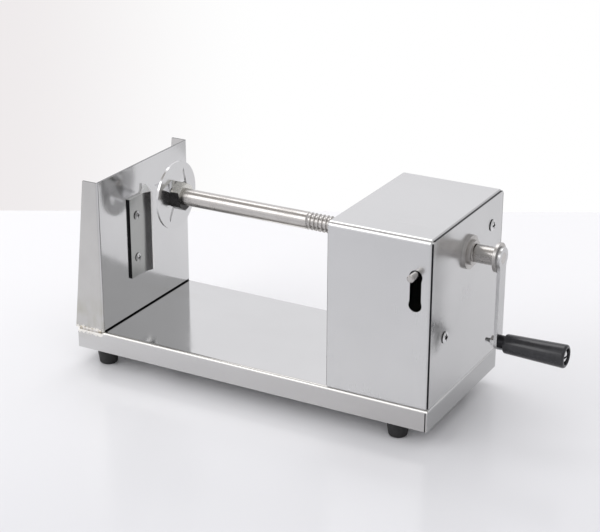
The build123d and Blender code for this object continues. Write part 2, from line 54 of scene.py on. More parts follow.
# places read from the frame
tray_low, tray_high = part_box("base_tray")
upright_low, upright_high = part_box("upright_plate")
panel_low, panel_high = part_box("end_panel")
tray_top = tray_high.z
shaft_low, shaft_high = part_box("feed_shaft")
axis_y = (shaft_low.y + shaft_high.y) / 2
axis_z = (shaft_low.z + shaft_high.z) / 2
shaft_radius = (shaft_high.z - shaft_low.z) / 2
disc_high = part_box("pusher_disc")[1]
arm_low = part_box("crank_arm")[0]
blade_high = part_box("blade")[1]


def at(x, y, z):
    """A place given in millimetres from the tray's left end, its front face and the floor."""
    return Vector((tray_low.x + x * MM, tray_low.y + y * MM, z * MM))


# ---------------------------------------------------------------- node helpers
class Tree:
    """A short way to build a node tree."""

    def __init__(self, tree):
        self.tree = tree
        tree.nodes.clear()

    def add(self, kind, inputs=None, **settings):
        node = self.tree.nodes.new(kind)
        for key, value in settings.items():
            setattr(node, key, value)
        for key, value in (inputs or {}).items():
            if isinstance(value, bpy.types.NodeSocket):
                self.tree.links.new(value, node.inputs[key])
            else:
                node.inputs[key].default_value = value
        return node

    def math(self, operation, a, b=0.0, clamp=False):
        node = self.add("ShaderNodeMath", {0: a, 1: b}, operation=operation, use_clamp=clamp)
        return node.outputs[0]

    def ramp(self, value, low, high, to_low=0.0, to_high=1.0, kind="LINEAR"):
        node = self.add(
            "ShaderNodeMapRange",
            {
                "Value": value, "From Min": low, "From Max": high,
                "To Min": to_low, "To Max": to_high,
            },
            interpolation_type=kind,
        )
        return node.outputs[0]

    def mix(self, factor, a, b):
        node = self.add("ShaderNodeMix", data_type="RGBA")
        for socket, value in ((node.inputs[0], factor), (node.inputs[6], a), (node.inputs[7], b)):
            if isinstance(value, bpy.types.NodeSocket):
                self.tree.links.new(value, socket)
            else:
                socket.default_value = value
        return node.outputs[2]

    def noise(self, vector, scale, detail=3.0, rough=0.5):
        node = self.add(
            "ShaderNodeTexNoise",
            {"Vector": vector, "Scale": scale, "Detail": detail, "Roughness": rough},
        )
        return node.outputs["Fac"]

    def axes(self, vector):
        """The x, y and z of a vector socket."""
        return self.add("ShaderNodeSeparateXYZ", {0: vector}).outputs

    def along(self, vector, way):
        """How far a vector reaches along a way."""
        node = self.add("ShaderNodeVectorMath", {0: vector, 1: way}, operation="DOT_PRODUCT")
        return node.outputs["Value"]

    def facing(self):
        """The x, y and z of the surface normal, in the object's own frame."""
        return self.axes(self.add("ShaderNodeTexCoord").outputs["Normal"])

    def stretched(self, scale):
        """Object coordinates in metres, stretched by a scale along each axis."""
        place = self.add("ShaderNodeTexCoord").outputs["Object"]
        return self.add("ShaderNodeMapping", {"Vector": place, "Scale": scale}).outputs[0]


def grey(value, warm=0.0):
    return (value * (1 + warm), value, value * (1 - warm), 1.0)


def new_material(name):
    material = bpy.data.materials.new(name)
    material.use_nodes = True
    return material, Tree(material.node_tree)


def finish_material(t, inputs):
    shader = t.add("ShaderNodeBsdfPrincipled", inputs)
    output = t.add("ShaderNodeOutputMaterial")
    t.tree.links.new(shader.outputs[0], output.inputs[0])
    return shader


# ---------------------------------------------------------------- metals
def band(t, value, low, high, soft=0.0002):
    """1 between two places along an axis and 0 elsewhere."""
    rise = t.ramp(value, low - soft, low)
    fall = t.ramp(value, high, high + soft, 1.0, 0.0)
    return t.math("MULTIPLY", rise, fall)


def sheet_steel(name, tone, rough, grain, grain_depth, smear, warm=0.0, marks=None):
    """Stainless sheet: fine grain along one way, cloudy polish, faint wipe marks and tiny nicks.

    marks may paint over it by place: a list of (mask, colour, added roughness, depth of grit).
    """
    material, t = new_material(name)
    fine = t.noise(t.stretched(grain), 1.0, 4.0, 0.6)
    place = t.stretched((1, 1, 1))
    cloud = t.noise(place, 14.0, 3.0, 0.55)
    wipe = t.noise(t.stretched((9, 30, 22)), 1.0, 2.0, 0.5)
    nick = t.ramp(t.noise(place, 900.0, 1.0), 0.74, 0.80)
    base = t.mix(t.ramp(cloud, 0.35, 0.65), grey(tone * 0.985, warm), grey(tone * 1.015, warm))
    base = t.mix(t.math("MULTIPLY", t.ramp(fine, 0.3, 0.7), 0.10), base, grey(tone * 0.86, warm))
    base = t.mix(t.math("MULTIPLY", nick, 0.25), base, grey(tone * 0.6, warm))
    roughness = t.math("ADD", rough, t.math("MULTIPLY", t.ramp(wipe, 0.4, 0.7), smear))
    roughness = t.math("ADD", roughness, t.math("MULTIPLY", t.ramp(fine, 0.35, 0.7), smear * 0.6))
    height = t.math("MULTIPLY", fine, grain_depth)
    if marks:
        for mask, colour, dull, lumps in marks(t):
            base = t.mix(mask, base, colour)
            roughness = t.math("ADD", roughness, t.math("MULTIPLY", mask, dull))
            if lumps:
                grit = t.noise(place, 700.0, 3.0, 0.7)
                grit = t.math("MULTIPLY", mask, grit)
                height = t.math("ADD", height, t.math("MULTIPLY", grit, lumps))
    bump = t.add("ShaderNodeBump", {"Strength": 1.0, "Distance": 1.0, "Height": height})
    finish_material(
        t, {"Base Color": base, "Metallic": 1.0, "Roughness": roughness, "Normal": bump.outputs[0]}
    )
    return material


def weld_zone(t, ways, z_low, z_high):
    """The ground and heat-stained corner where the upright's front and back flanges are welded."""
    noise = t.noise(t.stretched((1, 1, 1)), 260.0, 3.0, 0.7)
    ragged = t.math("MULTIPLY", t.math("SUBTRACT", noise, 0.5), 12 * MM)
    height = t.math("ADD", ways[2], ragged)
    along = t.ramp(ways[0], at(31, 0, 0).x, at(25, 0, 0).x)
    front = t.ramp(ways[1], at(0, 2.5, 0).y, at(0, 1.5, 0).y)
    back = t.ramp(ways[1], at(0, 147.5, 0).y, at(0, 148.5, 0).y)
    side = t.math("MAXIMUM", front, back)
    ground = band(t, height, z_low, z_high, 1.5 * MM)
    return t.math("MULTIPLY", t.math("MULTIPLY", along, side), ground)


def tray_marks(t):
    ways = t.axes(t.stretched((1, 1, 1)))
    weld = weld_zone(t, ways, tray_top - 3.5 * MM, tray_top + 4.0 * MM)
    inner = band(t, ways[1], at(0, 3.0, 0).y, at(0, 147.0, 0).y)
    top = t.ramp(ways[2], tray_top - 0.8 * MM, tray_top - 0.3 * MM)
    # painted shade: a near-black line on the tray top along the upright's foot stands in for the
    # shade in the corner between the parts
    foot_line = band(t, ways[0], at(29.0, 0, 0).x, at(30.6, 0, 0).x)
    foot_shade = t.math("MULTIPLY", foot_line, t.math("MULTIPLY", inner, top))
    front = t.ramp(ways[1], at(0, 0.3, 0).y, at(0, 0.1, 0).y)
    # painted shade: a near-black line on the front face at the right corner stands in for the shaded
    # gap where the front and end flanges meet
    corner_gap_shade = t.math("MULTIPLY", band(t, ways[0], at(357.6, 0, 0).x, at(358.5, 0, 0).x), front)
    dirt_and_shade = t.ramp(t.noise(t.stretched((30, 60, 90)), 1.0, 3.0, 0.6), 0.5, 0.8)
    leftward = t.ramp(ways[0], at(70, 0, 0).x, at(5, 0, 0).x)
    stain = t.math("MULTIPLY", leftward, t.math("MULTIPLY", dirt_and_shade, 0.5))
    outside = t.ramp(ways[1], at(0, 3.4, 0).y, at(0, 3.0, 0).y)
    # painted shade: the curved top edge of the front flange gets a darker, duller base that dims its
    # highlight
    edge_highlight_dimmed = t.math("MULTIPLY", outside, t.ramp(ways[2], tray_top - 2.8 * MM, tray_top - 1.5 * MM))
    # painted reflection: the outside of the front flange gets a darker base, more so towards the
    # right, standing in for the darker surroundings it mirrors
    rightward = t.ramp(ways[0], at(20, 0, 0).x, at(360, 0, 0).x, 0.35, 1.0)
    darker = t.math("MULTIPLY", outside, rightward)
    # painted reflection: the right end flange gets a darker base, standing in for the darker
    # surroundings it mirrors
    end = t.ramp(ways[0], at(359.6, 0, 0).x, at(359.9, 0, 0).x)
    return [
        (darker, (0.50, 0.49, 0.485, 1), 0.04, 0),
        (edge_highlight_dimmed, (0.60, 0.59, 0.57, 1), 0.16, 0),
        (end, (0.47, 0.47, 0.47, 1), 0.05, 0),
        (stain, (0.50, 0.48, 0.42, 1), 0.10, 0),
        (weld, (0.92, 0.90, 0.85, 1), 0.30, 4e-4),
        (foot_shade, (0.012, 0.012, 0.014, 1), 0.2, 0),
        (corner_gap_shade, (0.03, 0.03, 0.03, 1), 0.2, 0),
    ]


def upright_marks(t):
    ways = t.axes(t.stretched((1, 1, 1)))
    weld = weld_zone(t, ways, tray_top - 6.0 * MM, tray_top + 1.2 * MM)
    # painted shade: a near-black band along the bottom of the upright's face stands in for the shade
    # in the corner where it meets the tray
    face = t.ramp(ways[0], at(28.6, 0, 0).x, at(29.0, 0, 0).x)
    inner = band(t, ways[1], at(0, 2.5, 0).y, at(0, 147.5, 0).y)
    lowest = t.ramp(ways[2], tray_top + 1.6 * MM, tray_top + 1.4 * MM)
    foot_shade = t.math("MULTIPLY", lowest, t.math("MULTIPLY", inner, face))
    tint = t.ramp(t.noise(t.stretched((60, 60, 35)), 1.0, 3.0, 0.6), 0.35, 0.7)
    low = t.ramp(ways[2], tray_top + 39 * MM, tray_top + 6 * MM, kind="SMOOTHSTEP")
    side = t.ramp(ways[1], at(0, 2.5, 0).y, at(0, 1.5, 0).y)
    heat = t.math("MULTIPLY", t.math("MULTIPLY", tint, low), t.math("MULTIPLY", side, 0.75))
    facing = t.facing()
    cut = t.math("MULTIPLY", t.ramp(facing[2], 0.7, 0.9), 0.8)
    # painted reflection: the front-facing flange gets a darker, cloudy base, standing in for the
    # darker surroundings it mirrors
    flange_shade = t.math("MULTIPLY", t.ramp(facing[1], -0.7, -0.9), 0.75)
    cloud = t.noise(t.stretched((45, 60, 30)), 1.0, 3.0, 0.6)
    cloudy = t.mix(cloud, (0.44, 0.43, 0.42, 1), (0.60, 0.59, 0.57, 1))
    return [
        (flange_shade, cloudy, 0.05, 0),
        (cut, (0.10, 0.10, 0.10, 1), 0.10, 0),
        (heat, (0.34, 0.32, 0.22, 1), 0.12, 0),
        (weld, (0.90, 0.88, 0.82, 1), 0.30, 4e-4),
        (foot_shade, (0.012, 0.012, 0.014, 1), 0.2, 0),
    ]


def panel_marks(t):
    """Painted shade: a near-black band round the end panel's edge for the shaded gap at the cover,
    and a painted shadow by its lower screw.
    """
    ways = t.axes(t.stretched((1, 1, 1)))
    # painted shade: a near-black band round the panel's front, back and top edges stands in for the
    # shaded gap at the cover
    front = t.ramp(ways[1], panel_low.y + 0.9 * MM, panel_low.y + 0.5 * MM)
    back = t.ramp(ways[1], panel_high.y - 0.9 * MM, panel_high.y - 0.5 * MM)
    above = t.ramp(ways[2], panel_high.z - 0.9 * MM, panel_high.z - 0.5 * MM)
    edge = t.math("MAXIMUM", t.math("MAXIMUM", front, back), above)
    # painted shadow: a dark, cloudy blotch beside the lower screw
    corner = at(360, 14, 99)
    spot = t.add(
        "ShaderNodeVectorMath", {0: t.stretched((1, 1, 1)), 1: corner}, operation="DISTANCE"
    )
    near = t.ramp(spot.outputs["Value"], 0.020, 0.002, kind="SMOOTHSTEP")
    cloudy = t.noise(t.stretched((1, 1, 1)), 120.0, 3.0, 0.6)
    screw_shadow = t.math("MULTIPLY", t.math("MULTIPLY", near, cloudy), 1.1, clamp=True)
    return [
        (screw_shadow, (0.10, 0.10, 0.095, 1), 0.15, 0),
        (edge, (0.02, 0.02, 0.022, 1), 0.2, 0),
    ]


def turned_metal(name, tone, rough, warm=0.0, dull=0.0, depth=2e-6):
    """Turned or drawn round metal: fine rings across X, with patches of tarnish."""
    material, t = new_material(name)
    rings = t.noise(t.stretched((2600, 60, 60)), 1.0, 3.0, 0.6)
    place = t.stretched((1, 1, 1))
    tarnish = t.ramp(t.noise(place, 60.0, 4.0, 0.6), 0.45, 0.75)
    base = t.mix(t.math("MULTIPLY", rings, 0.2), grey(tone, warm), grey(tone * 0.8, warm))
    base = t.mix(t.math("MULTIPLY", tarnish, dull), base, grey(tone * 0.45, warm + 0.05))
    roughness = t.math("ADD", rough, t.math("MULTIPLY", tarnish, 0.12))
    bump = t.add("ShaderNodeBump", {"Strength": 1.0, "Distance": depth, "Height": rings})
    finish_material(
        t, {"Base Color": base, "Metallic": 1.0, "Roughness": roughness, "Normal": bump.outputs[0]}
    )
    return material


def weld_metal():
    """A ground weld: short scratches, pits and a straw tint."""
    material, t = new_material("ground_weld")
    scratch = t.noise(t.stretched((500, 3000, 700)), 1.0, 3.0, 0.7)
    lumps = t.noise(t.stretched((1, 1, 1)), 420.0, 3.0, 0.6)
    tint = t.mix(t.ramp(lumps, 0.4, 0.65), grey(0.72, 0.03), (0.42, 0.36, 0.26, 1))
    base = t.mix(t.math("MULTIPLY", scratch, 0.4), tint, grey(0.35, 0.02))
    height = t.math("ADD", scratch, t.math("MULTIPLY", lumps, 3.0))
    bump = t.add("ShaderNodeBump", {"Strength": 1.0, "Distance": 1.2e-4, "Height": height})
    finish_material(
        t, {"Base Color": base, "Metallic": 1.0, "Roughness": 0.38, "Normal": bump.outputs[0]}
    )
    return material


def blade_metal():
    """Ground blade: painted shade on its edge faces, and painted highlights on the bevel along the
    wing and on the point.
    """
    material, t = new_material("ground_blade")
    place = t.add("ShaderNodeTexCoord").outputs["Object"]
    ways = t.axes(place)
    facing = t.facing()
    scratches = t.noise(t.stretched((900, 900, 80)), 1.0, 4.0, 0.6)
    # painted highlight: the bevel along the wing and the point get a near-white, barely metallic base
    # that shows as a bright glint
    bevel = t.ramp(ways[1], blade_high.y - 3.3 * MM, blade_high.y - 2.9 * MM)
    point = t.ramp(ways[2], blade_high.z - 8.2 * MM, blade_high.z - 7.9 * MM)
    bright = t.math("MAXIMUM", bevel, point)
    # painted shade: edge faces that face the front or up get a near-black base, standing in for the
    # dark line along the blade's edges
    edge_shade = t.math("MAXIMUM", t.ramp(facing[1], -0.8, -0.9), t.ramp(facing[2], 0.8, 0.9))
    body = t.mix(t.math("MULTIPLY", scratches, 0.5), (0.44, 0.445, 0.43, 1), grey(0.30))
    # painted shade: the bent wing gets a darker base, standing in for the shade on its turned face
    wing = t.ramp(ways[1], at(0, 67.5, 0).y, at(0, 71, 0).y)
    body = t.mix(t.math("MULTIPLY", wing, 0.8), body, (0.20, 0.195, 0.20, 1))
    body = t.mix(edge_shade, body, (0.015, 0.015, 0.016, 1))
    base = t.mix(bright, body, (0.98, 0.98, 0.97, 1))
    metal = t.ramp(bright, 0.0, 1.0, 1.0, 0.08)
    roughness = t.ramp(bright, 0.0, 1.0, 0.26, 0.45)
    bump = t.add("ShaderNodeBump", {"Strength": 1.0, "Distance": 6e-6, "Height": scratches})
    finish_material(
        t, {"Base Color": base, "Metallic": metal, "Roughness": roughness, "Normal": bump.outputs[0]}
    )
    return material


def nut_steel():
    """The nut behind the disc, with painted light on its upper flats and painted shade on the rest.
    """
    material, t = new_material("nut_painted_shade")
    place = t.stretched((1, 1, 1))
    ways = t.axes(place)
    mottle = t.noise(place, 260.0, 4.0, 0.6)
    facing = t.facing()
    upper = t.ramp(facing[2], 0.35, 0.6)
    height = t.math("ADD", ways[2], t.math("MULTIPLY", mottle, 0.002))
    upper_half = t.ramp(height, axis_z + 2 * MM, axis_z + 5 * MM)
    ends = t.math("MULTIPLY", t.ramp(facing[0], 0.7, 0.9), upper_half)
    # painted light and shade: flats facing up, and the upper half of the end faces, get a pale base;
    # all other flats get a near-black mottled base
    lit_facets = t.math("MAXIMUM", upper, ends)
    marks = t.noise(t.stretched((900, 300, 300)), 1.0, 3.0, 0.6)
    dark = t.mix(mottle, grey(0.02), grey(0.07, 0.02))
    base = t.mix(lit_facets, dark, (0.70, 0.69, 0.65, 1))
    roughness = t.math("ADD", 0.20, t.math("MULTIPLY", mottle, 0.15))
    bump = t.add("ShaderNodeBump", {"Strength": 1.0, "Distance": 6e-6, "Height": marks})
    finish_material(
        t, {"Base Color": base, "Metallic": 1.0, "Roughness": roughness, "Normal": bump.outputs[0]}
    )
    return material


def screw_metal():
    """A plated screw head, with painted shade round its rim and in its recess."""
    material, t = new_material("screw_steel")
    place = t.stretched((1, 1, 1))
    facing = t.facing()
    smear = t.math("MULTIPLY", t.math("SUBTRACT", t.noise(place, 500.0, 2.0), 0.5), 0.3)
    # painted shade: faces that turn away from +X, the rim and recess walls, get a near-black base
    dirt_and_shade = t.ramp(t.math("ADD", facing[0], smear), 0.72, 0.45)
    base = t.mix(dirt_and_shade, grey(0.74), grey(0.035))
    rings = t.noise(t.stretched((200, 900, 900)), 1.0, 3.0, 0.6)
    bump = t.add("ShaderNodeBump", {"Strength": 1.0, "Distance": 3e-6, "Height": rings})
    finish_material(
        t, {"Base Color": base, "Metallic": 1.0, "Roughness": 0.2, "Normal": bump.outputs[0]}
    )
    return material


def collar_metal():
    """The collar under the grip, with painted shade on its upper half and painted light on its lower
    half.
    """
    material, t = new_material("collar_painted_shade")
    place = t.stretched((1, 1, 1))
    ways = t.axes(place)
    ragged_height = t.math("ADD", ways[2], t.math("MULTIPLY", t.noise(place, 300.0, 3.0, 0.6), 0.003))
    grip_low, grip_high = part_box("crank_grip")
    middle = (grip_low.z + grip_high.z) / 2
    # painted light and shade: the lower half gets a pale base and the upper half a near-black one
    lit_below = t.ramp(ragged_height, middle - 0.5 * MM, middle - 2.5 * MM)
    base = t.mix(lit_below, (0.02, 0.02, 0.022, 1), (0.55, 0.56, 0.58, 1))
    rings = t.noise(t.stretched((2600, 60, 60)), 1.0, 3.0, 0.6)
    bump = t.add("ShaderNodeBump", {"Strength": 1.0, "Distance": 2e-6, "Height": rings})
    finish_material(
        t, {"Base Color": base, "Metallic": 1.0, "Roughness": 0.3, "Normal": bump.outputs[0]}
    )
    return material


# ---------------------------------------------------------------- black parts
def black_plastic():
    """Glossy moulded grip: near black, slight flow ripple, rubbed where the hand turns it."""
    material, t = new_material("black_plastic")
    place = t.stretched((1, 1, 1))
    flow = t.noise(t.stretched((30, 160, 160)), 1.0, 2.0, 0.5)
    rubbed = t.ramp(t.noise(place, 140.0, 4.0, 0.6), 0.45, 0.8)
    speck = t.ramp(t.noise(place, 2600.0, 1.0), 0.7, 0.78)
    base = t.mix(rubbed, (0.016, 0.016, 0.019, 1), (0.030, 0.030, 0.034, 1))
    base = t.mix(t.math("MULTIPLY", speck, 0.3), base, grey(0.12))
    roughness = t.math("ADD", 0.17, t.math("MULTIPLY", rubbed, 0.14))
    bump = t.add("ShaderNodeBump", {"Strength": 1.0, "Distance": 6e-5, "Height": flow})
    finish_material(
        t,
        {
            "Base Color": base,
            "Roughness": roughness,
            "Normal": bump.outputs[0],
            "Specular IOR Level": 0.5,
        },
    )
    return material


def black_rubber():
    """Matt moulded rubber, with grain and dust."""
    material, t = new_material("black_rubber")
    place = t.stretched((1, 1, 1))
    grain = t.noise(place, 1800.0, 2.0, 0.6)
    dust = t.ramp(t.noise(place, 220.0, 4.0, 0.6), 0.5, 0.8)
    base = t.mix(t.math("MULTIPLY", dust, 0.5), (0.014, 0.014, 0.015, 1), (0.055, 0.053, 0.050, 1))
    bump = t.add("ShaderNodeBump", {"Strength": 1.0, "Distance": 4e-5, "Height": grain})
    finish_material(t, {"Base Color": base, "Roughness": 0.62, "Normal": bump.outputs[0]})
    return material


def assign(names, material):
    for name in names:
        slots = nodes[name].data.materials
        slots.clear()
        slots.append(material)


polished = sheet_steel("polished_sheet", 0.66, 0.065, (60, 900, 60), 1.2e-6, 0.05, marks=tray_marks)
polished_upright = sheet_steel(
    "polished_upright", 0.66, 0.10, (900, 900, 50), 1.6e-6, 0.05, marks=upright_marks
)
polished_disc = sheet_steel("polished_disc", 0.66, 0.12, (900, 900, 50), 1.6e-6, 0.05)
satin = sheet_steel("satin_sheet", 0.64, 0.20, (1400, 1400, 40), 2.5e-6, 0.06)
satin_panel = sheet_steel(
    "satin_panel", 0.60, 0.20, (1400, 1400, 40), 2.5e-6, 0.06, marks=panel_marks
)
satin_bar = sheet_steel("satin_bar", 0.58, 0.24, (900, 900, 60), 3e-6, 0.08)
shaft_metal = turned_metal("turned_shaft", 0.52, 0.22, 0.035, 0.25)
screw_steel = screw_metal()
bright_metal = turned_metal("bright_plating", 0.78, 0.12, 0.0, 0.10)
bearing_metal = turned_metal("bearing_metal", 0.50, 0.30, 0.03, 0.3)
spring_metal = turned_metal("spring_wire", 0.42, 0.30, 0.0, 0.3)

assign(["base_tray"], polished)
assign(["upright_plate"], polished_upright)
assign(["pusher_disc"], polished_disc)
assign(["housing_cover", "bearing_panel"], satin)
assign(["end_panel"], satin_panel)
assign(["crank_arm", "lever_arm", "spring_bracket"], satin_bar)
assign(["weld_beads"], weld_metal())
assign(["blade"], blade_metal())
assign(["feed_shaft", "lever_rod"], shaft_metal)
assign(["pusher_nut"], nut_steel())
assign(
    [
        "blade_screws", "blade_nuts", "foot_screws", "foot_nuts", "cover_screws", "cover_nuts",
        "pivot_bolt", "pivot_nut", "pivot_spacer", "bracket_screw", "bracket_nut", "grip_bolt",
        "grip_nut",
    ],
    bright_metal,
)
assign(["front_bush", "end_bush", "half_nut", "thrust_washer"], bearing_metal)
assign(["return_spring"], spring_metal)
assign(["grip_collar"], collar_metal())
plastic = black_plastic()
rubber = black_rubber()
assign(["crank_grip"], plastic)
assign(["foot_front_left", "foot_front_right", "foot_rear_left", "foot_rear_right"], rubber)


# ---------------------------------------------------------------- finer forms of some pieces
def piece(name, verts, faces, material, node, body="frame", crease=32):
    """A mesh that stands for one node, shaded smooth between its creases."""
    mesh = bpy.data.meshes.new(name)
    mesh.from_pydata([tuple(v) for v in verts], [], faces)
    mesh.update()
    for polygon in mesh.polygons:
        polygon.use_smooth = True
    mesh.set_sharp_from_angle(angle=math.radians(crease))
    mesh.materials.append(material)
    thing = bpy.data.objects.new(name, mesh)
    scene.collection.objects.link(thing)
    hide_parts(node)
    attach(thing, body)
    return thing


class Shape:
    """Vertices and faces gathered for one piece."""

    def __init__(self):
        self.verts = []
        self.faces = []

    def add(self, verts, faces):
        start = len(self.verts)
        self.verts += [tuple(v) for v in verts]
        self.faces += [tuple(start + i for i in face) for face in faces]

    def ring_stack(self, rings, close_ends=True):
        """Skin rings of equal length; the first faces outwards if the rings run anticlockwise."""
        count = len(rings[0])
        verts = [v for ring in rings for v in ring]
        faces = []
        for r in range(len(rings) - 1):
            for i in range(count):
                j = (i + 1) % count
                faces.append((r * count + i, r * count + j, (r + 1) * count + j, (r + 1) * count + i))
        if close_ends:
            faces.append(tuple(range(count - 1, -1, -1)))
            last = (len(rings) - 1) * count
            faces.append(tuple(last + i for i in range(count)))
        self.add(verts, faces)

    def box(self, low, high):
        a, b = low, high
        bottom = [(a[0], a[1], a[2]), (b[0], a[1], a[2]), (b[0], b[1], a[2]), (a[0], b[1], a[2])]
        top = [(v[0], v[1], b[2]) for v in bottom]
        self.ring_stack([bottom, top])

    def turned(self, profile, place, way, around=56):
        """Revolve (distance along, radius) pairs about an axis through a place: way is X or Z."""
        rings = []
        for along, radius in profile:
            ring = []
            for i in range(around):
                angle = math.tau * i / around
                u, v = radius * math.cos(angle), radius * math.sin(angle)
                if way == "X":
                    ring.append((place[0] + along, place[1] + u, place[2] + v))
                else:
                    ring.append((place[0] + u, place[1] + v, place[2] + along))
            rings.append(ring)
        self.ring_stack(rings)


def rounded(centre, radius, start, end, steps=6):
    """Points (along, out) of an arc, with angles in degrees."""
    points = []
    for i in range(steps + 1):
        angle = math.radians(start + (end - start) * i / steps)
        points.append((centre[0] + radius * math.cos(angle), centre[1] + radius * math.sin(angle)))
    return points


def make_tray():
    """The pan, with its corners closed and its top edges rounded as folded sheet is.

    The CAD solid has open notches at its upright corners; screw holes are left out here.
    """
    length = (tray_high.x - tray_low.x) / MM
    width = (tray_high.y - tray_low.y) / MM
    low = tray_low.z / MM
    high = tray_high.z / MM
    sheet = 1.5
    lip = 24.0
    side_curve = 3.4
    end_curve = 2.4
    steps = 7
    shape = Shape()
    rings = [[at(0, 0, low), at(length, 0, low), at(length, width, low), at(0, width, low)]]
    for i in range(steps + 1):
        angle = math.radians(90 * i / steps)
        side = side_curve * (1 - math.cos(angle))
        end = end_curve * (1 - math.cos(angle))
        z = high - side_curve + side_curve * math.sin(angle)
        right, back = length - end, width - side
        rings.append([at(end, side, z), at(right, side, z), at(right, back, z), at(end, back, z)])
    shape.ring_stack(rings, close_ends=False)
    top = rings[-1]
    shape.add(top, [(0, 1, 2, 3)])
    inner = [at(sheet, sheet, low), at(length - sheet, sheet, low)]
    inner += [at(length - sheet, width - sheet, low), at(sheet, width - sheet, low)]
    ceiling = [Vector((v.x, v.y, (high - sheet) * MM)) for v in inner]
    shape.ring_stack([ceiling, inner], close_ends=False)
    shape.add(ceiling, [(3, 2, 1, 0)])
    outer = rings[0]
    shape.add(outer + inner, [(1, 0, 4, 5), (2, 1, 5, 6), (3, 2, 6, 7), (0, 3, 7, 4)])
    for y0, y1 in ((sheet, lip), (width - lip, width - sheet)):
        shape.box(at(sheet, y0, low), at(length - sheet, y1, low + sheet))
    piece("folded_tray", shape.verts, shape.faces, polished, "base_tray", crease=40)


def make_upright():
    """The channel with crisp bends, its side flanges tapering towards the top.

    Its bends are sharper and its flanges longer than the CAD solid's, as in the photograph.
    """
    width = (tray_high.y - tray_low.y) / MM
    low = upright_low.z / MM
    high = upright_high.z / MM
    face = (upright_high.x - tray_low.x) / MM
    sheet = 2.0
    bend = 2.6
    bend_steps = 6
    reach_low = -2.0
    reach_high = face - 16.2
    slot_y0, slot_y1, slot_z0, slot_z1 = 67.0, 77.0, 71.5, 153.0

    def plan(reach, edge):
        outer = [(reach, 0.0)] + [
            (face - bend + bend * math.sin(a), bend - bend * math.cos(a))
            for a in (math.radians(90 * i / bend_steps) for i in range(bend_steps + 1))
        ]
        inside = bend - sheet
        inner = [
            (face - bend + inside * math.sin(a), bend - inside * math.cos(a))
            for a in (math.radians(90 - 90 * i / bend_steps) for i in range(bend_steps + 1))
        ]
        return outer + [(face, edge), (face - sheet, edge)] + inner + [(reach, sheet)]

    shape = Shape()
    for edge, flip in ((slot_y0, False), (width - slot_y1, True)):
        rings = []
        for reach, z in ((reach_low, low), (reach_high, high)):
            ring = [at(x, width - y if flip else y, z) for x, y in plan(reach, edge)]
            rings.append(ring[::-1] if flip else ring)
        shape.ring_stack(rings)
    shape.box(at(face - sheet, slot_y0, low), at(face, slot_y1, slot_z0))
    shape.box(at(face - sheet, slot_y0, slot_z1), at(face, slot_y1, high))
    piece(
        "folded_upright", shape.verts, shape.faces, polished_upright, "upright_plate"
    )


def make_foot(node):
    """A tapered foot with a rounded base edge and a recess for its screw."""
    low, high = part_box(node)
    middle = (low + high) / 2
    top_radius = (high.x - low.x) / 2
    base = top_radius - 1.9 * MM
    edge = 2.4 * MM
    recess_radius = 4.5 * MM
    recess_depth = 6.0 * MM
    axis = 0.1 * MM
    profile = [(recess_depth, axis), (recess_depth, recess_radius), (0.0, recess_radius)]
    profile += rounded((edge, base - edge), edge, 180, 90)
    profile += [(high.z, top_radius), (high.z, axis)]
    shape = Shape()
    shape.turned(profile, (middle.x, middle.y, 0.0), "Z")
    piece("moulded_" + node, shape.verts, shape.faces, rubber, node)


screw_pitch = 0.8 * MM


def screw_head(shape, seat, radius, height, recess):
    """A domed head that faces +X, with a cross or a plain slot sunk into it."""
    around, rows = 64, 18
    rim = height * 0.35

    def depth(u, v):
        wide = radius * 0.13
        if recess == "cross":
            long = radius * 0.55
            inside = (abs(u) < wide and abs(v) < long) or (abs(v) < wide and abs(u) < long)
        else:
            inside = abs(v) < wide and abs(u) < radius * 0.80
        return height * 0.55 if inside else 0.0

    rings = []
    for row in range(rows + 1):
        r = radius * max(0.02, 1 - row / rows)
        ring = []
        for i in range(around):
            angle = math.tau * i / around
            u, v = r * math.cos(angle), r * math.sin(angle)
            lift = rim + (height - rim) * (1 - (r / radius) ** 2.4) - depth(u, v)
            ring.append((seat[0] + lift, seat[1] + u, seat[2] + v))
        rings.append(ring)
    rings.insert(0, [(seat[0], v[1], v[2]) for v in rings[0]])
    shape.ring_stack(rings)


def shank(shape, x0, x1, radius, place, pitch):
    """A threaded shank, as a stack of sharp rings."""
    count = max(1, round((x1 - x0) / pitch))
    step = (x1 - x0) / count
    profile = [(x0, radius * 0.8)]
    for i in range(count):
        profile += [(x0 + (i + 0.5) * step, radius), (x0 + (i + 1) * step, radius * 0.84)]
    shape.turned(profile, (0.0, place[1], place[2]), "X", around=28)


def make_screws():
    """The screws that show, each with a head radius, a head height and its thread's radius."""
    sizes = {
        "blade_screws": (4.2, 1.9, 2.0),
        "pivot_bolt": (5.25, 2.2, 2.5),
        "bracket_screw": (5.25, 2.2, 2.5),
    }
    blade_face = at(31.4, 0, 0).x
    panel_face = at(360, 0, 0).x
    for node, size in sizes.items():
        low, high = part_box(node)
        radius, height, thread = (value * MM for value in size)
        seat_x = blade_face if node == "blade_screws" else panel_face
        y = (low.y + high.y) / 2
        spots = [(low.z + high.z) / 2]
        if node == "blade_screws":
            spots = [low.z + radius, high.z - radius]
        shape = Shape()
        for z in spots:
            screw_head(shape, (seat_x, y, z), radius, height, "cross")
            shank(shape, low.x, seat_x, thread, (0, y, z), screw_pitch)
        piece(
            "fine_" + node, shape.verts, shape.faces, screw_steel, node, crease=28
        )


